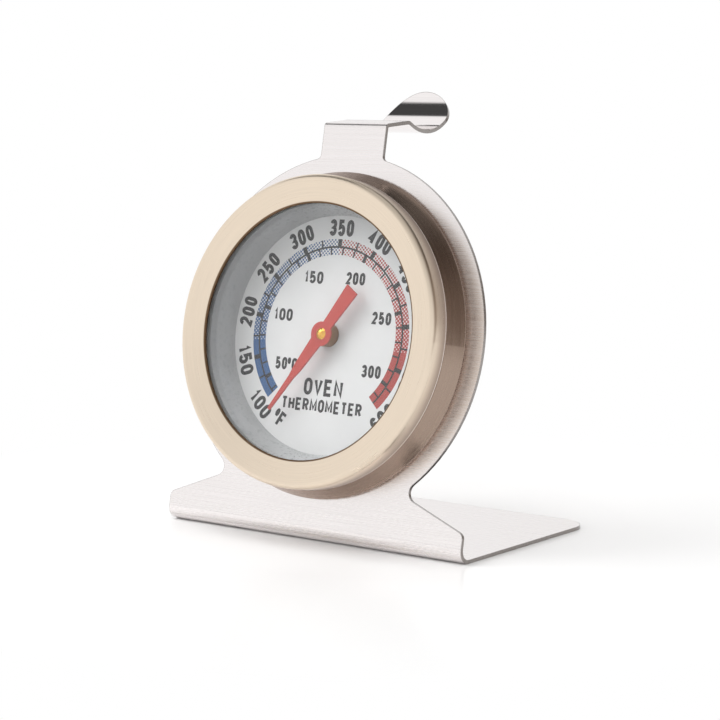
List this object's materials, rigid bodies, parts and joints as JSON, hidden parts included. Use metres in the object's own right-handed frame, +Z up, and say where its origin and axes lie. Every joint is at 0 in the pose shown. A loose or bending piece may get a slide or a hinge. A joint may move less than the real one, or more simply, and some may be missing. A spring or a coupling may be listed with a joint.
{
  "type": "oven thermometer",
  "caption": "Dial oven thermometer on a folded sheet stand with a hanging hook; a bimetal coil behind the dial turns its pointer.",
  "frame": {"origin": "middle of the foot's flat underside, on the surface that the thermometer stands on", "axes": "+Z up from that surface, +X to the right seen from the dial's side, +Y to the back; the dial faces -Y and leans back"},
  "size_m": [0.06, 0.0459, 0.0728],
  "materials": {
    "stand_steel": "brushed stainless sheet",
    "case_steel": "satin stainless, darkened by heat",
    "bezel_steel": "satin stainless with a warm straw tint",
    "rivet_steel": "plain stainless",
    "movement_steel": "plain strip steel",
    "bimetal": "rolled bimetal strip",
    "bush_brass": "turned brass",
    "staff_brass": "turned brass, polished head",
    "hub_brass": "dull turned brass",
    "pointer_red": "satin red paint",
    "dial_white": "smooth white enamel",
    "print_black": "black printed ink",
    "print_cold": "blue printed halftone",
    "print_hot": "red printed halftone",
    "spacer_grey": "satin grey",
    "lens_glass": "clear flat glass"
  },
  "bodies": {
    "frame": {"stand": "stand_steel", "case_pan": "case_steel", "case_rivets": "rivet_steel", "movement_bridge": "movement_steel", "bridge_rivets": "rivet_steel", "rear_bush": "bush_brass", "front_bush": "bush_brass", "bimetal_coil": "bimetal", "coil_anchor": "movement_steel", "anchor_rivet": "rivet_steel", "dial_plate": "dial_white", "spacer_ring": "spacer_grey", "lens": "lens_glass", "bezel": "bezel_steel"},
    "needle": {"staff": "staff_brass", "coil_collet": "bush_brass", "rear_washer": "movement_steel", "front_washer": "movement_steel", "staff_clip": "movement_steel", "pointer_hub": "hub_brass", "pointer": "pointer_red"}
  },
  "joints": [
    {"name": "pointer_turn", "type": "hinge", "parent": "frame", "child": "needle", "pos_m": [0, -0.01364, 0.03335], "axis": [0, 0.9823, -0.1874], "range_deg": [-15, 281], "stiffness_Nm_per_rad": 0.0001, "deforming": ["bimetal_coil"]}
  ]
}
